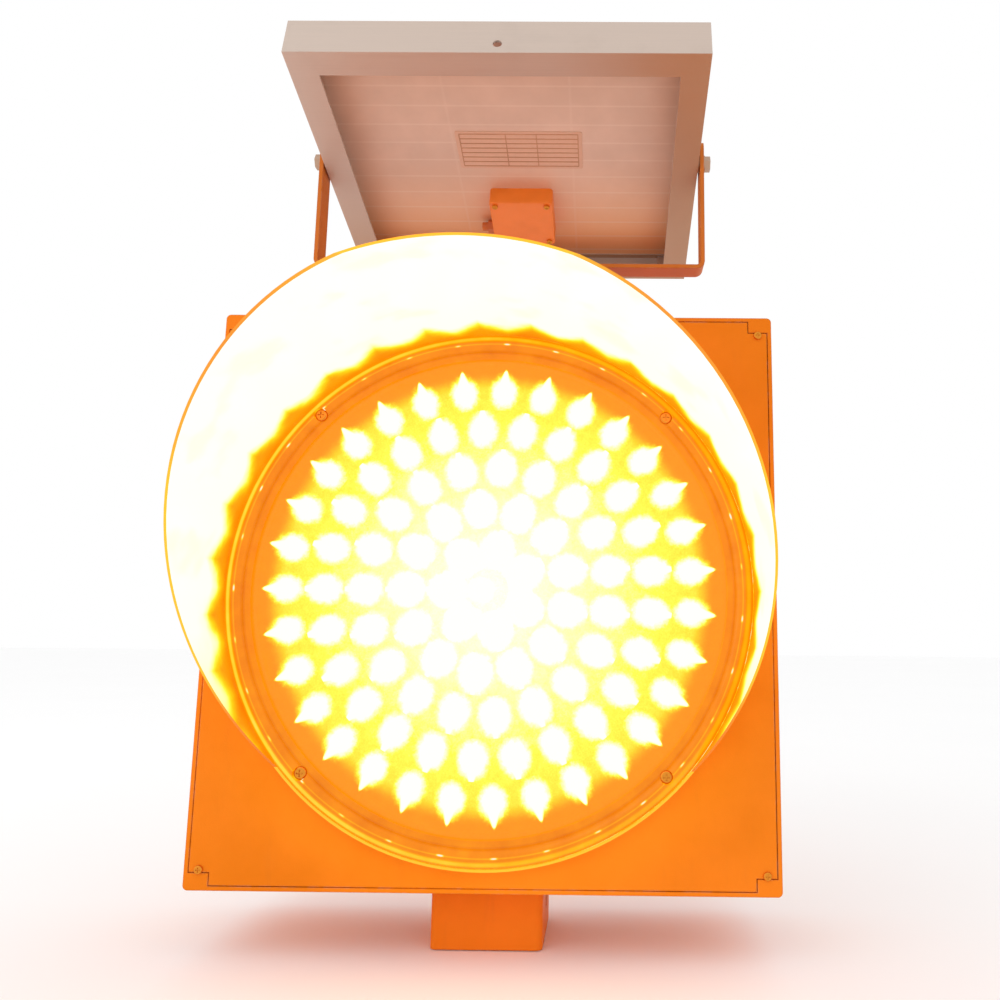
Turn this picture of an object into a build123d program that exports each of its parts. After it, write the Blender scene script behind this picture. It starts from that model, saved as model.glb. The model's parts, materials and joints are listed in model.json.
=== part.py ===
from build123d import *
import math
import os

# Solar warning light: a square lamp housing with a round lens and a cut-away visor, on a square pole
# socket, with a tilting solar panel held in a swivelling yoke above it.
# Millimetres. +Z is up and the lens faces -Y. The origin is the centre of the pole socket's mouth.

# ---- driving dimensions ----
housing_size = 360.0
housing_depth = 124.0
housing_wall = 2.5
corner_radius = 3.0

socket_width = 70.0
socket_wall = 3.0
socket_drop = 40.0
socket_rise = 30.0
socket_bolt_radius = 4.5
socket_flange = (112.0, 88.0)
socket_bolt_pitch = (92.0, 50.0)

lens_ring_radius = 166.0
lamp_opening_radius = 147.0
lens_screw_offset = 110.0
led_pitch = 25.4
led_rings = 5
led_radius = 5.0

visor_length = 168.0
visor_wall = 1.5
visor_base_height = 8.0
visor_edge_start = -107.0
visor_edge_middle = (74.0, -10.0)
visor_edge_end = 155.0

post_height = 55.0
post_radius = 19.0
post_flange = 76.0
post_bolt_pitch = 56.0

yoke_width = 18.0
yoke_thickness = 3.0
yoke_above_pivot = 16.0
swivel_bolt_radius = 4.0
tilt_bolt_radius = 3.0
washer_thickness = 1.2
pivot_above_housing = 140.5

panel_width = 276.0
panel_depth = 240.0
panel_height = 28.0
panel_rest_tilt = 15.2
frame_flange = 19.0
frame_skin = 1.5
shelf_z = 21.0
laminate_z = 22.0
pivot_above_underside = 10.3
pivot_ahead_of_middle = 9.0

running_gap = 0.08
body_gap = 0.3

# ---- places worked out from the driving dimensions ----
housing_bottom = socket_drop
housing_top = housing_bottom + housing_size
lens_z = housing_bottom + housing_size / 2
front_y = -housing_depth / 2
back_y = housing_depth / 2
inner_back_y = back_y - housing_wall
inner_half = housing_size / 2 - housing_wall
lens_axis = Axis((0, 0, lens_z), (0, 1, 0))
lens_section = Plane.XY.offset(lens_z)

cover_thickness = 2.0
seal_thickness = 2.0
ledge_thickness = 2.0
cover_back_y = front_y + cover_thickness
ledge_y = cover_back_y + seal_thickness
cover_screw_x = 171.0
cover_screw_z = 168.0
corner_notch = (13.0, 8.0)
corner_notch_pitch = (2 * inner_half - 12, 2 * inner_half - 7)

yoke_z = housing_top + post_height + body_gap
pivot_z = housing_top + pivot_above_housing
arm_inner_x = panel_width / 2 + 1.5
arm_outer_x = arm_inner_x + yoke_thickness

# the panel leans back at rest: its front edge is the higher one
rest_lean = math.radians(panel_rest_tilt)
panel_plane = Plane(
    origin=(0, pivot_ahead_of_middle * math.cos(rest_lean), pivot_z - pivot_ahead_of_middle * math.sin(rest_lean)),
    x_dir=(1, 0, 0), z_dir=(0, math.sin(rest_lean), math.cos(rest_lean)),
).offset(-pivot_above_underside)
panel_up = Axis((0, 0, 0), tuple(panel_plane.z_dir))

# lamp stack, from the front cover outwards and inwards
visor_flange_thickness = 2.0
lens_gasket_thickness = 1.5
lens_rim_thickness = 3.0
bezel_height = 6.5
bezel_ledge = 2.5
lens_dome_height = 8.0
lens_dome_radius = 145.0
gasket_y = front_y - visor_flange_thickness
lens_rim_y = gasket_y - lens_gasket_thickness
bezel_y = lens_rim_y - lens_rim_thickness
lens_rim_radius = lens_ring_radius - visor_wall - 1.0
bezel_radius = lens_rim_radius + 0.5
bowl_wall = 3.0
bowl_radius = 146.0
bowl_back_y = front_y + 35.0
board_y = front_y + 14.6
board_radius = 139.0
board_thickness = 1.6
board_screw_pitch = 130.0

# what sits inside the housing
battery_size = (151.0, 50.0, 94.0)
battery_z = 86.0
battery_front_y = inner_back_y - battery_size[1] - 2.5
battery_tab = (10.0, 6.0, 6.0)
battery_tab_x = 50.0
tray_lip_z = 62.0
strap_width = 20.0
strap_z = 130.0
strap_screw_x = 85.0
bracket_skin = 1.5
controller_width = 110.0
controller_z = 252.0
controller_height = 70.0
controller_depth = 25.0
controller_base_thickness = 3.0
terminal_z = controller_z - 13.0
terminal_depth = 19.0
terminal_y = inner_back_y - 12.5
terminal_xs = (-30.0, -10.0, 12.0, 34.0)
lead_radius = 2.4
lamp_lead_x = -10.0
lamp_lead_z = 205.0
gland_x = 85.0
gland_z = 365.0
gland_radius = 8.0
switch_x = 118.0
switch_body = (13.0, 20.4)
switch_top = housing_bottom + 24.0
rocker_angle = 12.0
rear_screw_places = (
    [(s * strap_screw_x, strap_z) for s in (-1, 1)]
    + [(s * 47.0, z) for s in (-1, 1) for z in (controller_z + 8, controller_z + controller_height - 8)]
    + [(s * 60.0, 70.0) for s in (-1, 1)]
)

# what sits in and under the panel
back_sheet_thickness = 0.6
cell_thickness = 0.7
glass_thickness = 3.2
laminate_gap = 0.5
cell_rows = 12
cell_columns = 3
cell_gap = 2.0
cell_pitch_x = 89.0
cell_pitch_y = 18.0
box_x = 50.0
box_y = 52.0
box_height = 12.0
box_wall = 2.0
box_centre = (2.5, 57.5)
lid_thickness = 2.5
box_gland_y = 71.0
label_size = (94.0, 38.0)
label_centre = (5.0, -10.5)


def facing_front(y, x=0.0, z=lens_z):
    """A plane that faces the viewer: its own x is +X and its own y is +Z."""
    return Plane(origin=(x, y, z), x_dir=(1, 0, 0), z_dir=(0, -1, 0))


def facing_back(y, x=0.0, z=lens_z):
    """A plane that faces away from the viewer: its own x is -X and its own y is +Z."""
    return Plane(origin=(x, y, z), x_dir=(-1, 0, 0), z_dir=(0, 1, 0))


def on_panel(origin, x_dir, z_dir):
    """A plane given in the panel's own directions, measured from the middle of its underside."""
    return Plane(panel_plane.location * Plane(origin=origin, x_dir=x_dir, z_dir=z_dir).location)


def four(x, y):
    """The four corners of a rectangle, from its half sizes."""
    return [(sx * x, sy * y) for sx in (-1, 1) for sy in (-1, 1)]


def save(part, name):
    part.label = name
    export_step(part, f"parts/{name}.step")


def screws(plane, places, head_radius, head_height, shank_radius, shank_length):
    """Pan-head screws whose heads stand out of the plane and whose shanks run behind it."""
    with BuildPart(plane) as group:
        with Locations(*places):
            Cylinder(head_radius, head_height, align=(Align.CENTER, Align.CENTER, Align.MIN))
        fillet(group.faces().sort_by(Axis(plane.origin, plane.z_dir))[-len(places):].edges(), head_height * 0.45)
        with Locations(*places):
            Cylinder(shank_radius, shank_length, align=(Align.CENTER, Align.CENTER, Align.MAX))
    with BuildPart(plane.offset(head_height)) as slots:
        with Locations(*places):
            Box(head_radius * 1.1, head_radius * 0.22, head_height * 0.8)
            Box(head_radius * 0.22, head_radius * 1.1, head_height * 0.8)
    return group.part - slots.part


def hex_pieces(plane, places, across_flats, height, hole_radius=0.0):
    """Hexagon nuts or bolt heads that stand on the plane."""
    with BuildPart() as group:
        with BuildSketch(plane):
            with Locations(*places):
                RegularPolygon(across_flats / 2, 6, major_radius=False)
                if hole_radius:
                    Circle(hole_radius, mode=Mode.SUBTRACT)
        extrude(amount=height)
    return group.part


def cord(points, radii, radius):
    """A round lead along straight runs joined by arcs."""
    with BuildPart() as lead:
        with BuildLine() as route:
            FilletPolyline(*points, radius=radii)
        with BuildSketch(Plane(origin=route.wire() @ 0, z_dir=route.wire() % 0)):
            Circle(radius)
        sweep(path=route.wire())
    return lead.part


# ---- housing ----
def housing_shell():
    """Folded box, open at the front, with an inner ledge that the front cover closes on."""
    with BuildPart() as shell:
        with BuildSketch(facing_front(back_y)):
            RectangleRounded(housing_size, housing_size, corner_radius)
        extrude(amount=housing_depth)
        with BuildSketch(facing_front(inner_back_y)):
            RectangleRounded(2 * inner_half, 2 * inner_half, corner_radius - housing_wall)
        extrude(amount=housing_depth, mode=Mode.SUBTRACT)
        # the ledge behind the cover's seal
        with BuildSketch(facing_front(ledge_y + ledge_thickness)):
            Rectangle(2 * inner_half + 1, 2 * inner_half + 1)
            Rectangle(2 * inner_half - 21, 2 * inner_half - 21, mode=Mode.SUBTRACT)
        extrude(amount=ledge_thickness)
        # filled corners that the cover is notched round
        with BuildSketch(facing_front(cover_back_y)):
            with GridLocations(*corner_notch_pitch, 2, 2):
                Rectangle(*corner_notch)
        extrude(amount=cover_thickness)
        fillet(shell.faces().sort_by(Axis.Y)[-1].edges(), 2.0)
        # cover screw holes in the ledge
        with BuildSketch(facing_front(ledge_y + ledge_thickness)):
            with GridLocations(2 * cover_screw_x, 2 * cover_screw_z, 2, 2):
                Circle(1.7)
        extrude(amount=ledge_thickness, mode=Mode.SUBTRACT)
        # pole socket, post bolts and switch
        with BuildSketch(Plane.XY.offset(housing_bottom)):
            Rectangle(socket_width + 0.4, socket_width + 0.4)
            with GridLocations(*socket_bolt_pitch, 2, 2):
                Circle(3.1)
            with Locations((switch_x, 0)):
                Rectangle(switch_body[0] + 0.2, switch_body[1] + 0.2)
        extrude(amount=housing_wall, mode=Mode.SUBTRACT)
        with BuildSketch(Plane.XY.offset(housing_top)):
            with GridLocations(post_bolt_pitch, post_bolt_pitch, 2, 2):
                Circle(3.1)
        extrude(amount=-housing_wall, mode=Mode.SUBTRACT)
        # rear wall: cable gland and the screws of what hangs on it
        with BuildSketch(facing_back(inner_back_y, z=0)):
            with Locations((-gland_x, gland_z)):
                Circle(gland_radius + 0.1)
            with Locations(*[(-x, z) for x, z in rear_screw_places]):
                Circle(2.1)
        extrude(amount=housing_wall, mode=Mode.SUBTRACT)
    return shell.part


def front_cover():
    """Flat cover plate, inset in the shell's rim, notched at the corners, with the lamp's round opening."""
    side = 2 * inner_half - 1.0
    with BuildPart() as cover:
        with BuildSketch(facing_front(cover_back_y)):
            Rectangle(side, side)
            with GridLocations(*corner_notch_pitch, 2, 2):
                Rectangle(corner_notch[0] + 1, corner_notch[1] + 1, mode=Mode.SUBTRACT)
            Circle(lamp_opening_radius, mode=Mode.SUBTRACT)
            with GridLocations(2 * cover_screw_x, 2 * cover_screw_z, 2, 2):
                Circle(1.8, mode=Mode.SUBTRACT)
            with GridLocations(2 * lens_screw_offset, 2 * lens_screw_offset, 2, 2):
                Circle(2.1, mode=Mode.SUBTRACT)
        extrude(amount=cover_thickness)
    return cover.part


def cover_gasket():
    with BuildPart() as gasket:
        with BuildSketch(facing_front(ledge_y)):
            Rectangle(2 * inner_half - 2, 2 * inner_half - 2)
            Rectangle(2 * inner_half - 20, 2 * inner_half - 20, mode=Mode.SUBTRACT)
            with GridLocations(2 * cover_screw_x, 2 * cover_screw_z, 2, 2):
                Circle(1.8, mode=Mode.SUBTRACT)
        extrude(amount=seal_thickness)
    return gasket.part


def pole_socket():
    """Square tube welded through a flange plate, capped inside the housing."""
    top = socket_drop + socket_rise
    floor = housing_bottom + housing_wall
    with BuildPart() as socket:
        with BuildSketch(Plane.XY):
            RectangleRounded(socket_width, socket_width, 4)
        extrude(amount=top)
        with BuildSketch(Plane.XY):
            RectangleRounded(socket_width - 2 * socket_wall, socket_width - 2 * socket_wall, 1.5)
        extrude(amount=top - socket_wall, mode=Mode.SUBTRACT)
        with BuildSketch(Plane.XY.offset(floor)):
            RectangleRounded(*socket_flange, 4)
            Rectangle(socket_width - 1, socket_width - 1, mode=Mode.SUBTRACT)
            with GridLocations(*socket_bolt_pitch, 2, 2):
                Circle(3.1, mode=Mode.SUBTRACT)
        extrude(amount=3)
        # cross bolt through both side walls
        with BuildSketch(Plane.YZ.offset(-socket_width / 2 - 1)):
            with Locations((0, socket_drop / 2)):
                Circle(socket_bolt_radius)
        extrude(amount=socket_width + 2, mode=Mode.SUBTRACT)
    return socket.part


def socket_bolts():
    """Low-head bolts up through the housing floor, one at each corner of the socket's flange."""
    with BuildPart() as bolts:
        with BuildSketch(Plane.XY.offset(housing_bottom)):
            with GridLocations(*socket_bolt_pitch, 2, 2):
                Circle(3)
        extrude(amount=14)
        with BuildSketch(Plane.XY.offset(housing_bottom - 2.4)):
            with GridLocations(*socket_bolt_pitch, 2, 2):
                Circle(6)
        extrude(amount=2.4)
        fillet(bolts.faces().sort_by(Axis.Z)[:4].edges(), 1.8)
    return bolts.part


# ---- lamp ----

def lamp_bowl():
    """Round pan behind the lens with a flange, a rear wall and four posts for the LED board."""
    rear = bowl_back_y + bowl_wall
    flange_rear = cover_back_y + bowl_wall
    with BuildPart() as bowl:
        with BuildSketch(lens_section):
            with BuildLine():
                Polyline(
                    (0, rear), (bowl_radius, rear), (bowl_radius, flange_rear), (bowl_radius + 18, flange_rear),
                    (bowl_radius + 18, cover_back_y), (bowl_radius - bowl_wall, cover_back_y),
                    (bowl_radius - bowl_wall, bowl_back_y), (0, bowl_back_y), close=True,
                )
            make_face()
        revolve(axis=lens_axis)
        with BuildSketch(facing_front(bowl_back_y)):
            with GridLocations(board_screw_pitch, board_screw_pitch, 2, 2):
                Circle(5)
        extrude(amount=bowl_back_y - board_y)
        with BuildSketch(facing_front(board_y)):
            with GridLocations(board_screw_pitch, board_screw_pitch, 2, 2):
                Circle(1.5)
        extrude(amount=-7, mode=Mode.SUBTRACT)
        with BuildSketch(facing_front(rear)):
            with Locations((lamp_lead_x, lamp_lead_z - lens_z)):
                Circle(5)
        extrude(amount=bowl_wall, mode=Mode.SUBTRACT)
        with BuildSketch(facing_front(flange_rear)):
            with GridLocations(2 * lens_screw_offset, 2 * lens_screw_offset, 2, 2):
                Circle(2.05)
        extrude(amount=bowl_wall, mode=Mode.SUBTRACT)
    return bowl.part


def lamp_grommet():
    with BuildPart(facing_back(bowl_back_y, lamp_lead_x, lamp_lead_z)) as grommet:
        Cylinder(5, bowl_wall, align=(Align.CENTER, Align.CENTER, Align.MIN))
        with Locations((0, 0, bowl_wall)):
            Cylinder(7.5, 2.5, align=(Align.CENTER, Align.CENTER, Align.MIN))
        fillet(grommet.faces().sort_by(Axis.Y)[-1].edges(), 1.0)
        Hole(2.5)
    return grommet.part


def led_board():
    with BuildPart() as board:
        with BuildSketch(facing_front(board_y)):
            Circle(board_radius)
            with GridLocations(board_screw_pitch, board_screw_pitch, 2, 2):
                Circle(1.6, mode=Mode.SUBTRACT)
        extrude(amount=board_thickness)
    return board.part


def led_ring(index):
    """One ring of round LEDs. Every ring has one LED level with the centre, on the left."""
    count = 1 + 6 * index if index else 1
    with BuildPart() as ring:
        with BuildSketch(facing_front(board_y - board_thickness)):
            with PolarLocations(index * led_pitch, count, start_angle=180):
                Circle(led_radius + 0.6)
        extrude(amount=1.2)
        with BuildSketch(facing_front(board_y - board_thickness)):
            with PolarLocations(index * led_pitch, count, start_angle=180):
                Circle(led_radius)
        extrude(amount=11)
        fillet(ring.faces().sort_by(Axis.Y)[:count].edges(), led_radius * 0.9)
    return ring.part


def lens_gasket():
    with BuildPart() as gasket:
        with BuildSketch(facing_front(gasket_y)):
            Circle(lens_rim_radius)
            Circle(lamp_opening_radius, mode=Mode.SUBTRACT)
            with GridLocations(2 * lens_screw_offset, 2 * lens_screw_offset, 2, 2):
                Circle(2.1, mode=Mode.SUBTRACT)
        extrude(amount=lens_gasket_thickness)
    return gasket.part


def cap_height(radius, edge, rise):
    """Height of a spherical cap above its rim, at a radius from its middle."""
    ball = (edge ** 2 + rise ** 2) / (2 * rise)
    return math.sqrt(ball ** 2 - radius ** 2) - (ball - rise)


def lens_cover():
    """Shallow domed lens with a flat rim."""
    rim_back = lens_rim_y
    rim_front = bezel_y
    rise = lens_dome_height
    outer_edge = lens_dome_radius
    inner_edge = lens_dome_radius - 1
    with BuildPart() as lens:
        with BuildSketch(lens_section):
            with BuildLine():
                Polyline((0, rim_front - rise), (0, rim_back), (lens_rim_radius, rim_back),
                         (lens_rim_radius, rim_front), (outer_edge, rim_front))
                ThreePointArc((outer_edge, rim_front),
                              (outer_edge / 2, rim_front - cap_height(outer_edge / 2, outer_edge, rise)),
                              (0, rim_front - rise))
            make_face()
        revolve(axis=lens_axis)
        with BuildSketch(lens_section):
            with BuildLine():
                Polyline((0, rim_back - rise), (0, rim_back), (inner_edge, rim_back))
                ThreePointArc((inner_edge, rim_back),
                              (inner_edge / 2, rim_back - cap_height(inner_edge / 2, inner_edge, rise)),
                              (0, rim_back - rise))
            make_face()
        revolve(axis=lens_axis, mode=Mode.SUBTRACT)
        with BuildSketch(facing_front(rim_back)):
            with GridLocations(2 * lens_screw_offset, 2 * lens_screw_offset, 2, 2):
                Circle(2.1)
        extrude(amount=lens_rim_thickness, mode=Mode.SUBTRACT)
    return lens.part


def lens_bezel():
    """Retaining ring with a rounded bead on its front."""
    ledge_y_front = bezel_y - bezel_ledge
    with BuildPart() as bezel:
        with BuildSketch(lens_section):
            with BuildLine():
                Polyline((148, ledge_y_front), (148, bezel_y), (bezel_radius, bezel_y),
                         (bezel_radius, ledge_y_front))
                Line((148, ledge_y_front), (152.5, ledge_y_front))
                ThreePointArc((152.5, ledge_y_front), (158, bezel_y - bezel_height),
                              (bezel_radius, ledge_y_front))
            make_face()
        revolve(axis=lens_axis)
        with BuildSketch(facing_front(bezel_y)):
            with GridLocations(2 * lens_screw_offset, 2 * lens_screw_offset, 2, 2):
                Circle(2.1)
        extrude(amount=bezel_height, mode=Mode.SUBTRACT)
        with BuildSketch(facing_front(ledge_y_front)):
            with GridLocations(2 * lens_screw_offset, 2 * lens_screw_offset, 2, 2):
                Circle(4.2)
        extrude(amount=bezel_height, mode=Mode.SUBTRACT)
    return bezel.part


def visor():
    """Round hood: a full base ring, then a long top whose sides sweep back to the ring."""
    inner = lens_ring_radius - visor_wall
    tip_y = front_y - visor_length
    base_y = front_y - visor_base_height
    far = lens_ring_radius + 30
    with BuildPart() as hood:
        with BuildSketch(facing_front(front_y)):
            Circle(lens_ring_radius)
            Circle(inner, mode=Mode.SUBTRACT)
        extrude(amount=visor_length)
        # side outline of what is kept: the base ring and everything above the swept edge
        with BuildSketch(Plane.YZ.offset(-far)):
            with BuildLine():
                edge = ThreePointArc((base_y, lens_z + visor_edge_start),
                                     (front_y - visor_edge_middle[0], lens_z + visor_edge_middle[1]),
                                     (tip_y, lens_z + visor_edge_end))
                front = Line(edge @ 1, (tip_y, lens_z + far))
                Polyline(front @ 1, (front_y + 1, lens_z + far), (front_y + 1, lens_z - far),
                         (base_y, lens_z - far), edge @ 0)
            make_face()
        extrude(amount=2 * far, mode=Mode.INTERSECT)
        # inner flange, clamped under the lens gasket
        with BuildSketch(facing_front(front_y)):
            Circle(inner + 0.5)
            Circle(lamp_opening_radius, mode=Mode.SUBTRACT)
            with GridLocations(2 * lens_screw_offset, 2 * lens_screw_offset, 2, 2):
                Circle(2.1, mode=Mode.SUBTRACT)
        extrude(amount=visor_flange_thickness)
    return hood.part


def lens_screws():
    """Screws through the whole lamp stack, their heads sunk in the bezel."""
    through = (bezel_ledge + lens_rim_thickness + lens_gasket_thickness + visor_flange_thickness
               + cover_thickness + bowl_wall)
    places = four(lens_screw_offset, lens_screw_offset)
    return screws(facing_front(bezel_y - bezel_ledge), places, 3.8, 2.6, 2.0, through + 2)


# ---- inside the housing ----

def battery_tray():
    """Bent shelf: a plate under the battery and a lip screwed to the rear wall."""
    half = battery_size[0] / 2 + 2.5
    lip_y = inner_back_y - bracket_skin
    under = battery_z - bracket_skin
    with BuildPart() as tray:
        with BuildSketch(Plane.YZ.offset(-half)):
            with BuildLine():
                Polyline(
                    (battery_front_y - bracket_skin, battery_z), (inner_back_y, battery_z),
                    (inner_back_y, tray_lip_z), (lip_y, tray_lip_z), (lip_y, under),
                    (battery_front_y - bracket_skin, under), close=True,
                )
            make_face()
        extrude(amount=2 * half)
        with BuildSketch(facing_back(lip_y, z=0)):
            with Locations((-60, 70), (60, 70)):
                Circle(2.1)
        extrude(amount=bracket_skin, mode=Mode.SUBTRACT)
    return tray.part


def battery():
    x, y, z = battery_size
    with BuildPart(Plane.XY.offset(battery_z)) as pack:
        with Locations((0, battery_front_y + y / 2, 0)):
            Box(x, y, z, align=(Align.CENTER, Align.CENTER, Align.MIN))
        fillet(pack.edges().filter_by(Axis.Z), 2.0)
        with Locations((-battery_tab_x, battery_front_y + y / 2, z), (battery_tab_x, battery_front_y + y / 2, z)):
            Box(*battery_tab, align=(Align.CENTER, Align.CENTER, Align.MIN))
    return pack.part


def battery_strap():
    """Flat strap round the battery's front, with an ear screwed to the rear wall at each side."""
    half = battery_size[0] / 2
    skin = bracket_skin
    front = battery_front_y - skin
    with BuildPart(Plane.XY.offset(strap_z - strap_width / 2)) as strap:
        with Locations((0, front, 0)):
            Box(2 * (half + skin), skin, strap_width, align=(Align.CENTER, Align.MIN, Align.MIN))
        for side in (-1, 1):
            with Locations((side * (half + skin / 2), front, 0)):
                Box(skin, inner_back_y - front, strap_width, align=(Align.CENTER, Align.MIN, Align.MIN))
            with Locations((side * (half + skin / 2 + 8), inner_back_y - skin, 0)):
                Box(16, skin, strap_width, align=(Align.CENTER, Align.MIN, Align.MIN))
        with BuildSketch(facing_back(inner_back_y - skin, z=0)):
            with Locations((-strap_screw_x, strap_z), (strap_screw_x, strap_z)):
                Circle(2.1)
        extrude(amount=skin, mode=Mode.SUBTRACT)
    return strap.part


def controller_base():
    middle = controller_z + controller_height / 2
    with BuildPart() as base:
        with BuildSketch(facing_front(inner_back_y, z=middle)):
            RectangleRounded(controller_width, controller_height, 3)
            with GridLocations(94, controller_height - 16, 2, 2):
                Circle(2.05, mode=Mode.SUBTRACT)
        extrude(amount=controller_base_thickness)
    return base.part


def controller_cover():
    """Open-backed lid over the controller board."""
    middle = controller_z + controller_height / 2
    seat_y = inner_back_y - controller_base_thickness
    with BuildPart() as lid:
        with BuildSketch(facing_front(seat_y, z=middle)):
            RectangleRounded(controller_width, controller_height, 3)
        extrude(amount=controller_depth - controller_base_thickness)
        fillet(lid.faces().sort_by(Axis.Y)[0].edges(), 2.0)
        with BuildSketch(facing_front(seat_y, z=middle)):
            RectangleRounded(controller_width - 4, controller_height - 4, 2)
        extrude(amount=controller_depth - controller_base_thickness - 2, mode=Mode.SUBTRACT)
    return lid.part


def controller_board():
    """Circuit board on four spacers, with its largest components."""
    middle = controller_z + controller_height / 2
    seat_y = inner_back_y - controller_base_thickness
    spacer = 6.0
    with BuildPart() as board:
        with BuildSketch(facing_front(seat_y - spacer, z=middle)):
            Rectangle(100, 60)
        extrude(amount=board_thickness)
        with BuildSketch(facing_front(seat_y, z=middle)):
            with GridLocations(74, 50, 2, 2):
                Circle(3)
        extrude(amount=spacer)
        with BuildSketch(facing_front(seat_y - spacer - board_thickness, z=middle)):
            with Locations((-30, 10), (-30, -12)):
                Circle(5)
            with Locations((5, 0)):
                Rectangle(16, 12)
            with Locations((32, 8)):
                Rectangle(10, 10)
        extrude(amount=9)
    return board.part


def terminal_block():
    """Row of lead terminals under the controller."""
    front = inner_back_y - terminal_depth
    with BuildPart() as block:
        with BuildSketch(Plane.XY.offset(terminal_z)):
            with Locations((2, front + terminal_depth / 2)):
                Rectangle(92, terminal_depth)
        extrude(amount=controller_z - terminal_z)
        with BuildSketch(facing_front(front, z=0)):
            with Locations(*[(x, terminal_z + 6) for x in terminal_xs]):
                Circle(3)
        extrude(amount=-2, mode=Mode.SUBTRACT)
    return block.part


def inner_leads():
    """The leads inside the case, each from its terminal to where it goes."""
    battery_x, lamp_x, switch_lead_x, panel_x = terminal_xs
    low = terminal_z
    tab_y = battery_front_y + battery_size[1] / 2
    tab_top = battery_z + battery_size[2] + battery_tab[2]
    return {
        "battery_lead": cord(
            [(-battery_tab_x, tab_y, tab_top), (-battery_tab_x, tab_y, 208), (battery_x, terminal_y, 218),
             (battery_x, terminal_y, low)],
            [8, 8], lead_radius),
        "lamp_lead": cord(
            [(lamp_lead_x, bowl_back_y + bowl_wall + 2.5, lamp_lead_z), (lamp_lead_x, terminal_y - 25, lamp_lead_z),
             (lamp_x, terminal_y, 220), (lamp_x, terminal_y, low)],
            [10, 8], lead_radius),
        "switch_lead": cord(
            [(switch_x, 0, switch_top), (switch_x, 0, 130), (95, terminal_y - 18, 185), (30, terminal_y, 196),
             (switch_lead_x, terminal_y, 210), (switch_lead_x, terminal_y, low)],
            [30, 20, 12, 8], lead_radius),
        "panel_lead_inner": cord(
            [(gland_x, inner_back_y - 8, gland_z), (gland_x, terminal_y - 12, gland_z),
             (gland_x - 3, terminal_y - 14, 325), (76, terminal_y - 8, 250), (64, terminal_y, 224),
             (panel_x, terminal_y, 218), (panel_x, terminal_y, low)],
            [9, 20, 12, 8, 8], lead_radius),
    }


def cable_gland():
    """Gland through the rear wall: body, hexagon, dome cap and the lock nut inside."""
    with BuildPart(facing_back(inner_back_y, gland_x, gland_z)) as gland:
        Cylinder(gland_radius, 22, align=(Align.CENTER, Align.CENTER, Align.MIN))
        with Locations((0, 0, -8)):
            Cylinder(gland_radius, 8, align=(Align.CENTER, Align.CENTER, Align.MIN))
        with BuildSketch(facing_back(back_y, gland_x, gland_z)):
            RegularPolygon(11, 6, major_radius=False)
        extrude(amount=6)
        with BuildSketch(facing_back(back_y + 7, gland_x, gland_z)):
            RegularPolygon(10.5, 6, major_radius=False)
        extrude(amount=13)
        fillet(gland.faces().sort_by(Axis.Y)[-1].edges(), 3.0)
        with BuildSketch(facing_front(inner_back_y, gland_x, gland_z)):
            RegularPolygon(11, 6, major_radius=False)
        extrude(amount=4)
        Hole(lead_radius)
    return gland.part


def power_switch():
    """Snap-in switch housing in the case's floor, hollow round the rocker."""
    with BuildPart() as switch:
        with BuildSketch(Plane.XY.offset(housing_bottom - 2)):
            with Locations((switch_x, 0)):
                RectangleRounded(switch_body[0] + 3, switch_body[1] + 3, 1.5)
        extrude(amount=2)
        with BuildSketch(Plane.XY.offset(housing_bottom)):
            with Locations((switch_x, 0)):
                Rectangle(*switch_body)
        extrude(amount=switch_top - housing_bottom)
        with BuildSketch(Plane.XY.offset(housing_bottom - 2)):
            with Locations((switch_x, 0)):
                Rectangle(11, 18.2)
        extrude(amount=9, mode=Mode.SUBTRACT)
        with BuildSketch(Plane.YZ.offset(switch_x - 6.2)):
            with Locations((0, housing_bottom + 1)):
                Circle(1.06)
        extrude(amount=12.4, mode=Mode.SUBTRACT)
    return switch.part


def switch_rocker():
    """Rocker on two short pins, resting on its front half."""
    tilt = math.radians(rocker_angle)
    pivot = Plane(origin=(switch_x - 5.2, 0, housing_bottom + 1), x_dir=(0, math.cos(tilt), math.sin(tilt)),
                  z_dir=(1, 0, 0))
    with BuildPart() as rocker:
        with BuildSketch(pivot):
            Polygon((-8, 1.6), (8, 1.6), (8, -4.2), (0, -3.2), (-8, -4.2), align=None)
        extrude(amount=10.4)
        with BuildSketch(pivot.offset(-0.9)):
            Circle(1)
        extrude(amount=12.2)
    return rocker.part


# ---- post and yoke ----
def post_gasket():
    with BuildPart() as gasket:
        with BuildSketch(Plane.XY.offset(housing_top)):
            RectangleRounded(post_flange, post_flange, 6)
            Circle(14, mode=Mode.SUBTRACT)
            with GridLocations(post_bolt_pitch, post_bolt_pitch, 2, 2):
                Circle(3.1, mode=Mode.SUBTRACT)
        extrude(amount=1.5)
    return gasket.part


def top_post():
    """Round post welded to a square flange, with a threaded top for the swivel bolt."""
    base = housing_top + 1.5
    with BuildPart() as post:
        with BuildSketch(Plane.XY.offset(base)):
            RectangleRounded(post_flange, post_flange, 6)
            with GridLocations(post_bolt_pitch, post_bolt_pitch, 2, 2):
                Circle(3.1, mode=Mode.SUBTRACT)
        extrude(amount=4)
        with BuildSketch(Plane.XY.offset(base)):
            Circle(post_radius)
        extrude(amount=post_height - 1.5)
        with BuildSketch(Plane.XY.offset(base)):
            Circle(post_radius - 3)
        extrude(amount=post_height - 1.5 - 12, mode=Mode.SUBTRACT)
        with BuildSketch(Plane.XY.offset(base)):
            Circle(swivel_bolt_radius)
        extrude(amount=post_height, mode=Mode.SUBTRACT)
        foot = post.edges().filter_by(GeomType.CIRCLE).filter_by(
            lambda e: abs(e.center().Z - base - 4) < 0.01 and abs(e.radius - post_radius) < 0.01)
        fillet(foot, 3.0)
    return post.part


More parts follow.
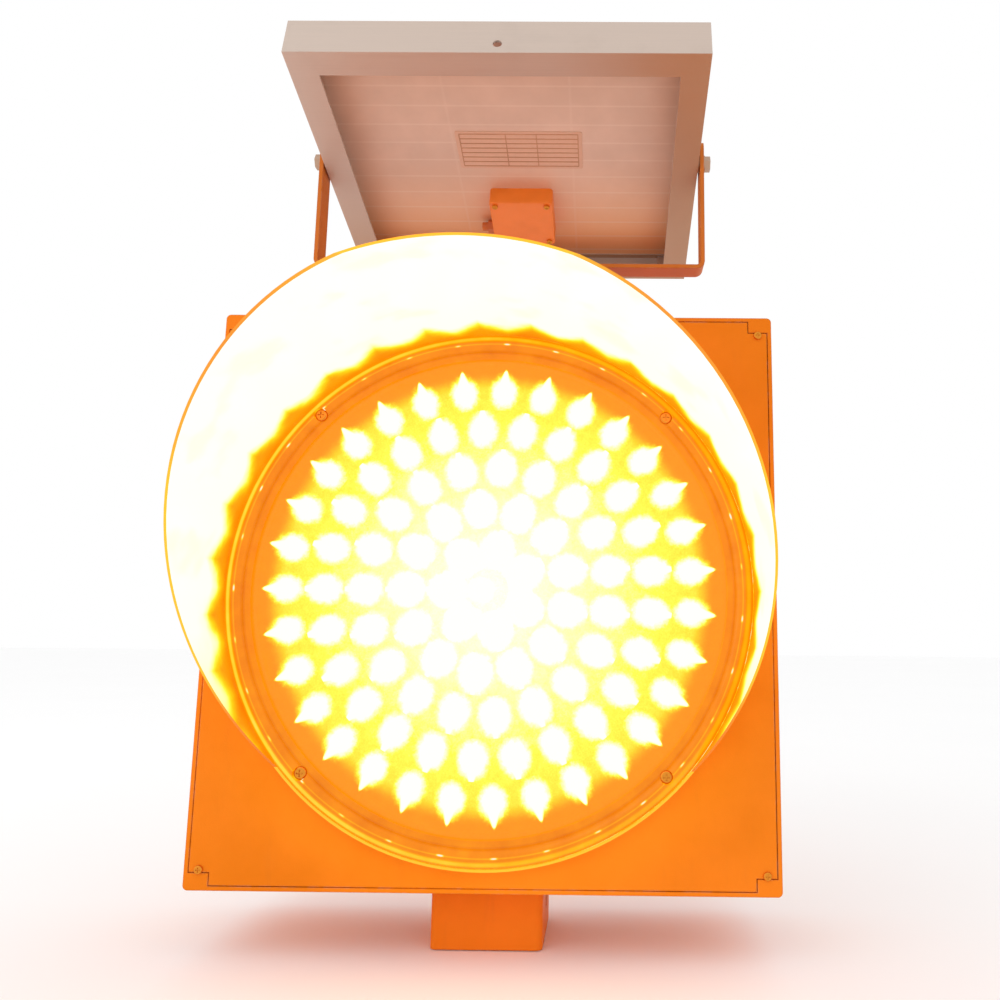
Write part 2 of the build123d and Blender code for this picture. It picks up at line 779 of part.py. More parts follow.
def post_bolts():
    """Hexagon bolts down through the post's flange and the housing's top."""
    places = four(post_bolt_pitch / 2, post_bolt_pitch / 2)
    with BuildPart() as bolts:
        add(hex_pieces(Plane.XY.offset(housing_top + 5.5), places, 10, 4))
        with BuildSketch(Plane.XY.offset(housing_top + 5.5)):
            with Locations(*places):
                Circle(3)
        extrude(amount=-18)
    return bolts.part


def swivel_bolt():
    """Hexagon bolt that clamps the yoke to the post, with its washer."""
    top = yoke_z + yoke_thickness
    with BuildPart() as bolt:
        with BuildSketch(Plane.XY.offset(top + body_gap)):
            Circle(8.5)
        extrude(amount=1.6)
        with BuildSketch(Plane.XY.offset(top + body_gap + 1.6)):
            RegularPolygon(6.5, 6, major_radius=False)
        extrude(amount=5.5)
        with BuildSketch(Plane.XY.offset(top + 1)):
            Circle(swivel_bolt_radius)
        extrude(amount=-24)
    return bolt.part


def yoke():
    """U-shaped strap with rounded arm ends, a swivel hole in its base and a tilt hole in each arm."""
    outer = arm_outer_x
    arm_top = pivot_z + yoke_above_pivot
    with BuildPart() as strap:
        with BuildSketch(Plane.XZ.offset(-yoke_width / 2)):
            with BuildLine():
                Polyline(
                    (-outer, arm_top), (-outer, yoke_z), (outer, yoke_z), (outer, arm_top),
                    (arm_inner_x, arm_top), (arm_inner_x, yoke_z + yoke_thickness),
                    (-arm_inner_x, yoke_z + yoke_thickness), (-arm_inner_x, arm_top), close=True,
                )
            make_face()
        extrude(amount=yoke_width)
        outside = strap.edges().filter_by(Axis.Y).filter_by(lambda e: abs(e.center().Z - yoke_z) < 0.01)
        fillet(outside, 6.0)
        inside = strap.edges().filter_by(Axis.Y).filter_by(
            lambda e: abs(e.center().Z - yoke_z - yoke_thickness) < 0.01)
        fillet(inside, 3.0)
        ends = strap.edges().filter_by(Axis.X).filter_by(lambda e: abs(e.center().Z - arm_top) < 0.01)
        fillet(ends, yoke_width / 2 - 0.5)
        with BuildSketch(Plane.XY.offset(yoke_z)):
            Circle(swivel_bolt_radius + running_gap)
        extrude(amount=yoke_thickness, mode=Mode.SUBTRACT)
        with BuildSketch(Plane.YZ.offset(-outer - 1)):
            with Locations((0, pivot_z)):
                Circle(tilt_bolt_radius)
        extrude(amount=2 * outer + 2, mode=Mode.SUBTRACT)
    return strap.part


def tilt_bolts():
    """Hexagon bolt through each arm into the panel's side rail, along the tilt axis."""
    head_x = arm_outer_x + washer_thickness
    tip_x = panel_width / 2 - frame_skin - 7
    with BuildPart() as bolts:
        for side in (-1, 1):
            face = Plane(origin=(side * head_x, 0, pivot_z), x_dir=(0, 1, 0), z_dir=(side, 0, 0))
            with BuildSketch(face):
                RegularPolygon(5, 6, major_radius=False)
            extrude(amount=4)
            with BuildSketch(face):
                Circle(tilt_bolt_radius)
            extrude(amount=tip_x - head_x)
    return bolts.part


def tilt_washers():
    """A washer under each bolt head and one between each arm and the panel's rail."""
    with BuildPart() as washers:
        for side in (-1, 1):
            for start in (arm_outer_x, arm_inner_x - washer_thickness):
                with BuildSketch(Plane.YZ.offset(side * start)):
                    with Locations((0, pivot_z)):
                        Circle(6.4)
                        Circle(tilt_bolt_radius, mode=Mode.SUBTRACT)
                extrude(amount=side * washer_thickness)
    return washers.part


def tilt_nuts():
    """Lock nut on the inner end of each tilt bolt, inside the panel's rail."""
    with BuildPart() as nuts:
        for side in (-1, 1):
            face = Plane(origin=(side * (panel_width / 2 - frame_skin - body_gap), 0, pivot_z),
                         x_dir=(0, 1, 0), z_dir=(-side, 0, 0))
            with BuildSketch(face):
                RegularPolygon(5, 6, major_radius=False)
                Circle(tilt_bolt_radius, mode=Mode.SUBTRACT)
            extrude(amount=5)
    return nuts.part


# ---- solar panel ----
def frame_rail(side):
    """One mitred rail: outer web, bottom flange, the shelf under the laminate and the lip over it."""
    layers = [
        (frame_flange, 0.0, frame_skin),
        (frame_skin, frame_skin, panel_height - frame_skin),
        (6.0, shelf_z, laminate_z),
        (8.0, panel_height - frame_skin, panel_height),
    ]
    half_x, half_y = panel_width / 2, panel_depth / 2
    with BuildPart() as rail:
        for inset, low, high in layers:
            corners = [(-half_x, -half_y), (half_x, -half_y), (half_x, half_y), (-half_x, half_y)]
            inner = [(-half_x + inset, -half_y + inset), (half_x - inset, -half_y + inset),
                     (half_x - inset, half_y - inset), (-half_x + inset, half_y - inset)]
            after = (side + 1) % 4
            with BuildSketch(panel_plane.offset(low)):
                Polygon(corners[side], corners[after], inner[after], inner[side], align=None)
            extrude(amount=high - low)
        if side == 0:
            with BuildSketch(on_panel((0, -half_y, 8.0), (1, 0, 0), (0, -1, 0))):
                Circle(3)
            extrude(amount=-frame_skin, mode=Mode.SUBTRACT)
        if side in (1, 3):
            with BuildSketch(Plane.YZ.offset(half_x - frame_skin if side == 1 else -half_x)):
                with Locations((0, pivot_z)):
                    Circle(tilt_bolt_radius + running_gap)
            extrude(amount=frame_skin, mode=Mode.SUBTRACT)
    return rail.part


def corner_keys():
    """L-shaped keys that hold the mitred rails together, inside the frame's corners."""
    half_x = panel_width / 2 - frame_skin
    half_y = panel_depth / 2 - frame_skin
    with BuildPart() as keys:
        with BuildSketch(panel_plane.offset(frame_skin)):
            for sx in (-1, 1):
                for sy in (-1, 1):
                    with Locations((sx * (half_x - 11), sy * (half_y - 1.5))):
                        Rectangle(22, 3)
                    with Locations((sx * (half_x - 1.5), sy * (half_y - 11))):
                        Rectangle(3, 22)
        extrude(amount=shelf_z - frame_skin)
    return keys.part


def laminate_layer(low, thickness):
    side_x = panel_width - 2 * frame_skin - 2 * laminate_gap
    side_y = panel_depth - 2 * frame_skin - 2 * laminate_gap
    with BuildPart() as layer:
        with BuildSketch(panel_plane.offset(low)):
            Rectangle(side_x, side_y)
        extrude(amount=thickness)
    return layer.part


def solar_cells():
    """Strings of cells: twelve rows across the panel, three to a row."""
    with BuildPart() as cells:
        with BuildSketch(panel_plane.offset(laminate_z + back_sheet_thickness)):
            with GridLocations(cell_pitch_x, cell_pitch_y, cell_columns, cell_rows):
                Rectangle(cell_pitch_x - cell_gap, cell_pitch_y - cell_gap)
        extrude(amount=cell_thickness)
    return cells.part


def junction_box():
    """Terminal box glued under the back sheet, open downwards until its lid closes it."""
    roof = laminate_z - box_wall
    mouth = laminate_z - box_height
    with BuildPart() as box:
        with BuildSketch(panel_plane.offset(laminate_z)):
            with Locations(box_centre):
                RectangleRounded(box_x, box_y, 3)
        extrude(amount=-box_height)
        with BuildSketch(panel_plane.offset(roof)):
            with Locations(box_centre):
                RectangleRounded(box_x - 2 * box_wall, box_y - 2 * box_wall, 1.5)
        extrude(amount=mouth - roof, mode=Mode.SUBTRACT)
        with BuildSketch(panel_plane.offset(roof)):
            with Locations(box_centre):
                with GridLocations(box_x - 9, box_y - 9, 2, 2):
                    Circle(2.6)
        extrude(amount=mouth - roof)
        with BuildSketch(panel_plane.offset(mouth)):
            with Locations(box_centre):
                with GridLocations(box_x - 9, box_y - 9, 2, 2):
                    Circle(1.3)
        extrude(amount=8, mode=Mode.SUBTRACT)
        with BuildSketch(box_side(0)):
            Circle(3.55)
        extrude(amount=-box_wall, mode=Mode.SUBTRACT)
    return box.part


def box_side(distance):
    """The plane of the junction box's left side, or one a distance beyond it."""
    origin = (box_centre[0] - box_x / 2 - distance, box_gland_y, laminate_z - box_height / 2)
    return on_panel(origin, (0, 1, 0), (-1, 0, 0))


def junction_lid():
    with BuildPart() as lid:
        with BuildSketch(panel_plane.offset(laminate_z - box_height)):
            with Locations(box_centre):
                RectangleRounded(box_x, box_y, 3)
                with GridLocations(box_x - 9, box_y - 9, 2, 2):
                    Circle(1.4, mode=Mode.SUBTRACT)
        extrude(amount=-lid_thickness)
        fillet(lid.faces().sort_by(panel_up)[0].outer_wire().edges(), 1.0)
    return lid.part


def junction_screws():
    cx, cy = box_centre
    places = [(cx + x, y - cy) for x, y in four((box_x - 9) / 2, (box_y - 9) / 2)]
    underside = (0, 0, laminate_z - box_height - lid_thickness)
    return screws(on_panel(underside, (1, 0, 0), (0, 0, -1)), places, 2.4, 1.6, 1.25, 8)


def junction_gland():
    """Lead entry on the left side of the junction box."""
    with BuildPart() as gland:
        with BuildSketch(box_side(-box_wall)):
            Circle(3.5)
        extrude(amount=12)
        with BuildSketch(box_side(0)):
            RegularPolygon(4.8, 6, major_radius=False)
        extrude(amount=5)
        fillet(gland.faces().sort_by(Axis.X)[0].edges(), 1.0)
        with BuildSketch(box_side(-box_wall)):
            Circle(1.9)
        extrude(amount=12, mode=Mode.SUBTRACT)
    return gland.part


def rating_label():
    """Blank ruled plate on the back sheet."""
    with BuildPart() as label:
        with BuildSketch(panel_plane.offset(laminate_z)):
            with Locations(label_centre):
                RectangleRounded(*label_size, 1.5)
        extrude(amount=-0.4)
    return label.part


def rear_screws():
    """Screws through the rear wall for the tray, the strap and the controller."""
    places = [(-x, z) for x, z in rear_screw_places]
    return screws(facing_back(back_y, z=0), places, 4.0, 2.4, 2.0, housing_wall + 1.5)


def main():
    os.makedirs("parts", exist_ok=True)
    save(housing_shell(), "housing_shell")
    save(front_cover(), "front_cover")
    save(cover_gasket(), "cover_gasket")
    cover_places = four(cover_screw_x, cover_screw_z)
    save(screws(facing_front(front_y), cover_places, 2.6, 1.5, 1.65, 7), "cover_screws")
    save(pole_socket(), "pole_socket")
    save(socket_bolts(), "socket_bolts")
    socket_places = four(socket_bolt_pitch[0] / 2, socket_bolt_pitch[1] / 2)
    nut_plane = Plane.XY.offset(housing_bottom + housing_wall + 3)
    save(hex_pieces(nut_plane, socket_places, 10, 5, 3), "socket_nuts")
    save(lamp_bowl(), "lamp_bowl")
    save(lamp_grommet(), "lamp_grommet")
    save(led_board(), "led_board")
    board_places = four(board_screw_pitch / 2, board_screw_pitch / 2)
    save(screws(facing_front(board_y - board_thickness), board_places, 2.8, 1.8, 1.5, 8), "board_screws")
    save(led_ring(0), "led_centre")
    for index in range(1, led_rings + 1):
        save(led_ring(index), f"led_ring_{index}")
    save(lens_gasket(), "lens_gasket")
    save(lens_cover(), "lens_cover")
    save(lens_bezel(), "lens_bezel")
    save(lens_screws(), "lens_screws")
    save(visor(), "visor")
    save(battery_tray(), "battery_tray")
    save(battery(), "battery")
    save(battery_strap(), "battery_strap")
    save(controller_base(), "controller_base")
    save(controller_board(), "controller_board")
    save(controller_cover(), "controller_cover")
    save(terminal_block(), "terminal_block")
    for name, lead in inner_leads().items():
        save(lead, name)
    save(rear_screws(), "rear_screws")
    save(cable_gland(), "cable_gland")
    save(power_switch(), "power_switch")
    save(switch_rocker(), "switch_rocker")
    save(post_gasket(), "post_gasket")
    save(top_post(), "top_post")
    save(post_bolts(), "post_bolts")
    post_places = four(post_bolt_pitch / 2, post_bolt_pitch / 2)
    save(hex_pieces(Plane.XY.offset(housing_top - housing_wall - 5), post_places, 10, 5, 3), "post_nuts")
    save(swivel_bolt(), "swivel_bolt")
    save(yoke(), "yoke")
    save(tilt_bolts(), "tilt_bolts")
    save(tilt_washers(), "tilt_washers")
    save(tilt_nuts(), "tilt_nuts")
    for side, name in enumerate(("front", "right", "rear", "left")):
        save(frame_rail(side), f"frame_{name}_rail")
    save(corner_keys(), "corner_keys")
    save(laminate_layer(laminate_z, back_sheet_thickness), "back_sheet")
    save(solar_cells(), "solar_cells")
    glass_z = laminate_z + back_sheet_thickness + cell_thickness
    save(laminate_layer(glass_z, glass_thickness), "panel_glass")
    save(junction_box(), "junction_box")
    save(junction_lid(), "junction_lid")
    save(junction_screws(), "junction_screws")
    save(junction_gland(), "junction_gland")
    save(rating_label(), "rating_label")


main()
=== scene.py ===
import json
import math

import bmesh
import bpy
from mathutils import Matrix, Vector


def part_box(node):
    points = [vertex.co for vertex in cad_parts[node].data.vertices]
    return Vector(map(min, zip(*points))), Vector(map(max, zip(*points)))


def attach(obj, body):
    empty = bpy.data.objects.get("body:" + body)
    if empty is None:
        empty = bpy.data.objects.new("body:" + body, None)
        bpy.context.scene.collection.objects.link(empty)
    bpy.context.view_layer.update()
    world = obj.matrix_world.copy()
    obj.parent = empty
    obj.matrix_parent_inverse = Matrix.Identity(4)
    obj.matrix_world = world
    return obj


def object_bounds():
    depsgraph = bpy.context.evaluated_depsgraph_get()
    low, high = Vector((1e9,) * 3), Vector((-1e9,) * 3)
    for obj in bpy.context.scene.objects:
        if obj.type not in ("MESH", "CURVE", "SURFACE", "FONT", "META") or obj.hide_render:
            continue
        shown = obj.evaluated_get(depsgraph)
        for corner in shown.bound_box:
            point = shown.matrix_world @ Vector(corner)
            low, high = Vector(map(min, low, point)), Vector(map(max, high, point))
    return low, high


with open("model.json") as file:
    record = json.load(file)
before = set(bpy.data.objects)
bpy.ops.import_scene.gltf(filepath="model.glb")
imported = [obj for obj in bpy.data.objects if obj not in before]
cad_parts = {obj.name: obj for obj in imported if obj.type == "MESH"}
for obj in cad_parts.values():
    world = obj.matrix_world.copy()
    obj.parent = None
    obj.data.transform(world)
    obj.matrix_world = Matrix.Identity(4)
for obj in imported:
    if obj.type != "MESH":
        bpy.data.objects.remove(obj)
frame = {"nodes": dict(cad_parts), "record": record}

CAD_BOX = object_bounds()
MM = 1000.0
NODES = frame["nodes"]
RECORD = frame["record"]
SLOT_OF = {part["node"]: part["material_slot"] for part in RECORD["subparts"]}

# ---- sizes of the CAD pieces that the patterns and added pieces fit ----
LED_RINGS = 5
LED_FLANGE_RADIUS = 0.0056
LENS_RIM_THICKNESS = 0.003
DOME_EDGE = 0.145
GLASS_THICKNESS = 0.0032
ROW_PITCH_MM = 18.0
COLUMN_PITCH_MM = 89.0

# ---- places read from the frame, in metres ----
lens_low, lens_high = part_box("lens_cover")
LENS_X = (lens_low[0] + lens_high[0]) / 2
LENS_Z = (lens_low[2] + lens_high[2]) / 2
RIM_FRONT_Y = lens_high[1] - LENS_RIM_THICKNESS
DOME_RISE = RIM_FRONT_Y - lens_low[1]
FACE_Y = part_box("front_cover")[0][1]
ring_low, ring_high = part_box("led_ring_5")
LED_PITCH = round(((ring_high[2] - ring_low[2]) / 2 - LED_FLANGE_RADIUS) / LED_RINGS, 4)
OUTER_COUNT = 6 * LED_RINGS + 1
TILT = next(joint for joint in RECORD["behaviour"]["joints"] if joint["name"] == "panel_tilt")
PIVOT = Vector(TILT["pos_m"])


def lean_of_panel():
    """The panel's lean at rest, from the depth and height of the box round its flat glass."""
    low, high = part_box("panel_glass")
    depth = high[1] - low[1]
    height = high[2] - low[2]
    lean = math.atan2(height, depth)
    for _ in range(20):
        lean = math.atan2(height - GLASS_THICKNESS * math.cos(lean), depth - GLASS_THICKNESS * math.sin(lean))
    return lean


PANEL_LEAN = lean_of_panel()


def from_pivot(node):
    """How far back from and above the tilt axis a panel node's middle is, in the panel's own directions."""
    low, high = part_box(node)
    dy = (low[1] + high[1]) / 2 - PIVOT.y
    dz = (low[2] + high[2]) / 2 - PIVOT.z
    back = dy * math.cos(PANEL_LEAN) - dz * math.sin(PANEL_LEAN)
    up = dy * math.sin(PANEL_LEAN) + dz * math.cos(PANEL_LEAN)
    return back, up


PANEL_MIDDLE = from_pivot("panel_glass")[0]


# ---- short calls for node trees ----
class Tree:
    """A material's node tree with short calls for the nodes used here."""

    def __init__(self, name):
        self.mat = bpy.data.materials.new(name)
        self.mat.use_nodes = True
        self.nodes = self.mat.node_tree.nodes
        self.links = self.mat.node_tree.links
        self.shader = next(n for n in self.nodes if n.type == "BSDF_PRINCIPLED")

    def put(self, socket, value):
        """Links a socket to another one, or gives it a plain value."""
        if isinstance(value, bpy.types.NodeSocket):
            self.links.new(value, socket)
        elif value is not None:
            socket.default_value = value

    def set(self, **values):
        """Puts values into the shader's sockets, named with _ for each space."""
        for name, value in values.items():
            self.put(self.shader.inputs[name.replace("_", " ")], value)

    def math(self, operation, a, b=None, clamp=False):
        node = self.nodes.new("ShaderNodeMath")
        node.operation = operation
        node.use_clamp = clamp
        for socket, value in zip(node.inputs, (a, b)):
            self.put(socket, value)
        return node.outputs[0]

    def add(self, a, b, clamp=False):
        return self.math("ADD", a, b, clamp)

    def subtract(self, a, b):
        return self.math("SUBTRACT", a, b)

    def times(self, a, b):
        return self.math("MULTIPLY", a, b)

    def most(self, a, b, clamp=False):
        return self.math("MAXIMUM", a, b, clamp)

    def size_of(self, value):
        return self.math("ABSOLUTE", value)

    def off_whole(self, value):
        """How far a value is from the nearest whole number, with its sign."""
        return self.subtract(value, self.math("ROUND", value))

    def step(self, value, low, high, to_low=0.0, to_high=1.0, smooth=True):
        """Takes low..high to to_low..to_high and holds the ends."""
        node = self.nodes.new("ShaderNodeMapRange")
        node.interpolation_type = "SMOOTHSTEP" if smooth else "LINEAR"
        for socket, item in zip(node.inputs, (value, low, high, to_low, to_high)):
            self.put(socket, item)
        return node.outputs[0]

    def noise(self, vector, scale, detail=3.0, rough=0.5):
        node = self.nodes.new("ShaderNodeTexNoise")
        self.put(node.inputs["Vector"], vector)
        node.inputs["Scale"].default_value = scale
        node.inputs["Detail"].default_value = detail
        node.inputs["Roughness"].default_value = rough
        return node.outputs[0]

    def stretched(self, vector, x, y, z):
        node = self.nodes.new("ShaderNodeMapping")
        self.put(node.inputs["Vector"], vector)
        node.inputs["Scale"].default_value = (x, y, z)
        return node.outputs[0]

    def ramp(self, value, stops):
        node = self.nodes.new("ShaderNodeValToRGB")
        self.put(node.inputs[0], value)
        elements = node.color_ramp.elements
        while len(elements) < len(stops):
            elements.new(0.5)
        for element, (place, colour) in zip(elements, stops):
            element.position = place
            element.color = (*colour, 1.0)
        return node.outputs[0]

    def mix(self, factor, a, b):
        node = self.nodes.new("ShaderNodeMix")
        node.data_type = "RGBA"
        self.put(node.inputs["Factor"], factor)
        colours = [socket for socket in node.inputs if socket.type == "RGBA"]
        for socket, value in zip(colours, (a, b)):
            self.put(socket, (*value, 1.0) if isinstance(value, tuple) else value)
        return next(socket for socket in node.outputs if socket.type == "RGBA")

    def bump(self, height, strength, distance):
        node = self.nodes.new("ShaderNodeBump")
        node.inputs["Strength"].default_value = strength
        node.inputs["Distance"].default_value = distance
        self.put(node.inputs["Height"], height)
        self.put(self.shader.inputs["Normal"], node.outputs[0])
        return node

    def coords(self):
        return self.nodes.new("ShaderNodeTexCoord").outputs["Object"]

    def split(self, vector):
        node = self.nodes.new("ShaderNodeSeparateXYZ")
        self.put(node.inputs[0], vector)
        return node.outputs

    def true_normal(self):
        return self.split(self.nodes.new("ShaderNodeNewGeometry").outputs["True Normal"])


def scaled(colour, factor, lift=0.0):
    """A colour made darker or paler, held at white."""
    return tuple(min(1.0, channel * factor + lift) for channel in colour)


# ---- the light of the lamp, from its dull edge to its white middle ----
GLOW = [
    (0.00, (0.62, 0.105, 0.000)),
    (0.22, (0.94, 0.290, 0.001)),
    (0.42, (1.00, 0.560, 0.004)),
    (0.60, (1.00, 0.880, 0.060)),
    (0.80, (1.00, 1.000, 0.550)),
    (1.00, (1.00, 1.000, 1.000)),
]


def polar(tree, vector):
    """About the lens axis: radius, angle from the left, distance ahead of the face, and dx and dz, in mm."""
    x, y, z = tree.split(vector)
    dx = tree.times(tree.subtract(x, LENS_X), MM)
    dz = tree.times(tree.subtract(z, LENS_Z), MM)
    radius = tree.math("SQRT", tree.add(tree.times(dx, dx), tree.times(dz, dz)))
    angle = tree.math("ARCTAN2", dz, tree.times(dx, -1.0))
    ahead = tree.times(tree.subtract(FACE_Y, y), MM)
    return radius, angle, ahead, dx, dz


def off_nearest(tree, angle, count):
    """How far an angle is from the nearest of count equal places, as a share of their spacing."""
    turn = tree.times(tree.math("DIVIDE", angle, 2 * math.pi), count)
    return tree.off_whole(turn)


# ---- painted, moulded and metal surfaces ----
def worn_edges(tree, at):
    """How much a corner is rubbed, and the rounded normal there."""
    rounded = tree.nodes.new("ShaderNodeBevel")
    rounded.samples = 4
    rounded.inputs["Radius"].default_value = 0.0012
    turn = tree.nodes.new("ShaderNodeVectorMath")
    turn.operation = "DOT_PRODUCT"
    tree.links.new(rounded.outputs[0], turn.inputs[0])
    tree.links.new(tree.nodes.new("ShaderNodeNewGeometry").outputs["Normal"], turn.inputs[1])
    corner = tree.step(turn.outputs["Value"], 0.97, 0.80)
    patches = tree.step(tree.noise(at, 120.0, 4.0, 0.7), 0.40, 0.62)
    return tree.times(corner, patches), rounded.outputs[0]


def paint(name, colour, rough, dust, glow=0.0):
    """Powder coat: orange-peel skin, slow tone changes, faint grime and rubbed, paler edges."""
    tree = Tree(name)
    at = tree.coords()
    slow = tree.noise(at, 9.0, 4.0, 0.6)
    fine = tree.noise(at, 900.0, 2.0, 0.5)
    body = tree.mix(tree.step(slow, 0.3, 0.7), scaled(colour, 0.91), scaled(colour, 1.05, 0.006))
    grime = tree.step(tree.noise(tree.stretched(at, 40.0, 40.0, 6.0), 1.2, 5.0, 0.7), 0.52, 0.80)
    body = tree.mix(tree.times(grime, dust), body, scaled(colour, 0.45, 0.02))
    edge, rounded = worn_edges(tree, at)
    body = tree.mix(tree.times(edge, 0.5), body, scaled(colour, 0.7, 0.30))
    tree.set(Base_Color=body, Roughness=tree.step(fine, 0.2, 0.8, rough - 0.07, rough + 0.1))
    tree.set(Specular_IOR_Level=0.08)
    peel = tree.bump(tree.add(fine, tree.times(slow, 0.8)), 0.22, 0.0004)
    tree.links.new(rounded, peel.inputs["Normal"])
    if glow:
        # the front of the box catches the lamp's light next to its ring
        radius, _, ahead, _, _ = polar(tree, at)
        near = tree.times(tree.step(radius, 160.0, 215.0, glow, 0.0), tree.step(ahead, -4.0, -2.0))
        tree.set(Emission_Color=tree.mix(tree.step(slow, 0.3, 0.7), (1.0, 0.30, 0.0), (1.0, 0.42, 0.0)))
        tree.set(Emission_Strength=near)
    return tree.mat


def moulded(name, colour, rough=0.45, grain=700.0, depth=0.25, speck=0.1):
    """Moulded plastic, rubber or ink: fine grain with small tone changes."""
    tree = Tree(name)
    at = tree.coords()
    fine = tree.noise(at, grain, 3.0, 0.6)
    slow = tree.noise(at, 22.0, 3.0, 0.55)
    body = tree.mix(tree.step(slow, 0.3, 0.7), scaled(colour, 1 - speck), scaled(colour, 1 + speck, 0.01))
    tree.set(Base_Color=body, Roughness=tree.step(fine, 0.25, 0.75, rough - 0.08, rough + 0.12))
    tree.bump(fine, depth, 0.0003)
    return tree.mat


def metal(name, colour, rough, along=(1.0, 1.0, 1.0), scale=700.0, metallic=1.0, spots=0.15):
    """Metal with drawn or brushed lines along one direction and faint stains."""
    tree = Tree(name)
    at = tree.coords()
    lines = tree.noise(tree.stretched(at, *along), scale, 3.0, 0.6)
    stain = tree.step(tree.noise(at, 30.0, 5.0, 0.65), 0.5, 0.75)
    body = tree.mix(tree.times(stain, spots), colour, scaled(colour, 0.55))
    body = tree.mix(tree.step(lines, 0.35, 0.65, 0.0, 0.22), body, scaled(colour, 1.15))
    tree.set(Base_Color=body, Metallic=metallic)
    tree.set(Roughness=tree.step(lines, 0.3, 0.7, rough - 0.06, rough + 0.12))
    tree.bump(lines, 0.12, 0.0002)
    return tree.mat


# ---- the lit lamp ----
def led_images(tree, at, radius, angle):
    """Brightness of the LEDs' images: round near the middle, drawn out to a point away from it."""
    pitch = LED_PITCH * MM
    ring = tree.math("ROUND", tree.math("DIVIDE", radius, pitch))
    ring = tree.math("MINIMUM", ring, float(LED_RINGS))
    count = tree.add(tree.times(ring, 6.0), 1.0)
    off = off_nearest(tree, angle, count)
    across = tree.math("DIVIDE", tree.times(tree.times(off, 2 * math.pi), radius), count)
    along = tree.subtract(radius, tree.times(ring, pitch))
    # images are a little longer than wide, more so towards the rim, with ragged outlines
    squeeze = tree.step(ring, 0.0, 5.0, 1.0, 1.7, smooth=False)
    reach = tree.add(tree.times(tree.times(across, across), squeeze), tree.times(along, along))
    ragged = tree.times(tree.subtract(tree.noise(at, 260.0, 4.0, 0.7), 0.5), 7.0)
    near = tree.add(tree.math("SQRT", reach), ragged)
    core = tree.times(tree.step(near, 14.5, 6.0), 0.62)
    taper = tree.step(along, 0.0, 15.5, 9.0, 0.35, smooth=False)
    point = tree.step(tree.math("DIVIDE", tree.size_of(across), taper), 1.15, 0.30)
    point = tree.times(point, tree.step(along, 15.8, 13.0))
    point = tree.times(point, tree.step(along, -4.0, 3.0))
    point = tree.times(point, tree.step(ring, 2.5, 5.0, 0.30, 0.80, smooth=False))
    return tree.most(core, point)


def lit_lens(name):
    """Amber lens over lit LEDs: each LED's image is white, on a ground that fades to an orange margin."""
    tree = Tree(name)
    at = tree.coords()
    radius, angle, _, _, _ = polar(tree, at)
    ground = tree.step(radius, 136.0, 0.0, 0.47, 1.00, smooth=False)
    ground = tree.times(ground, tree.step(radius, 140.0, 127.0, 0.36, 1.0))
    specks = tree.times(tree.subtract(tree.noise(at, 900.0, 3.0, 0.7), 0.5), 0.20)
    streaks = tree.times(tree.subtract(tree.noise(at, 170.0, 5.0, 0.75), 0.5), 0.22)
    mottle = tree.times(tree.add(specks, streaks), tree.step(radius, 142.0, 120.0, 0.25, 1.0))
    level = tree.add(ground, led_images(tree, at, radius, angle))
    level = tree.add(level, mottle, clamp=True)
    tree.set(Base_Color=tree.mix(level, (0.16, 0.030, 0.001), (0.6, 0.35, 0.05)), Roughness=0.16)
    tree.set(Emission_Color=tree.ramp(level, GLOW), Emission_Strength=0.92, Specular_IOR_Level=0.2)
    tree.bump(tree.noise(at, 420.0, 2.0, 0.5), 0.15, 0.0004)
    return tree.mat


def lit_bezel(name):
    """Glossy amber ring glowing with painted lamp light, with a small painted highlight for each LED of the
    outer ring.
    """
    point_radius, rim_radius, groove_radius = 157.2, 160.9, 152.6
    tree = Tree(name)
    at = tree.coords()
    radius, angle, _, dx, _ = polar(tree, at)
    spacing = 2 * math.pi * point_radius / OUTER_COUNT
    across = tree.times(tree.size_of(off_nearest(tree, angle, float(OUTER_COUNT))), spacing)
    off_points = tree.size_of(tree.subtract(radius, point_radius))
    # painted highlights: a small bright point for each LED of the outer ring
    spark = tree.times(tree.step(across, 3.6, 0.2), tree.step(off_points, 0.9, 0.1))
    spark = tree.times(spark, tree.step(tree.noise(at, 60.0), 0.35, 0.6, 0.45, 0.85))
    thread = tree.times(tree.step(off_points, 0.6, 0.1), 0.14)
    # the rim catches the lit visor, most on the left
    rim = tree.step(tree.size_of(tree.subtract(radius, rim_radius)), 2.2, 0.5)
    rim = tree.times(rim, tree.step(dx, 120.0, -150.0, 0.16, 0.38))
    # painted shade along the groove
    groove = tree.step(tree.size_of(tree.subtract(radius, groove_radius)), 1.6, 0.4, 0.0, -0.06)
    patch = tree.times(tree.subtract(tree.noise(at, 55.0, 4.0, 0.6), 0.5), 0.25)
    level = tree.add(tree.most(spark, thread), rim)
    level = tree.add(level, tree.add(patch, tree.add(groove, 0.20)), clamp=True)
    tree.set(Base_Color=tree.mix(tree.noise(at, 120.0), (0.16, 0.032, 0.001), (0.24, 0.050, 0.002)))
    tree.set(Emission_Color=tree.ramp(level, GLOW), Emission_Strength=0.80)
    tree.set(Roughness=0.22, Specular_IOR_Level=0.2)
    tree.bump(tree.noise(at, 300.0, 3.0, 0.5), 0.12, 0.0003)
    return tree.mat


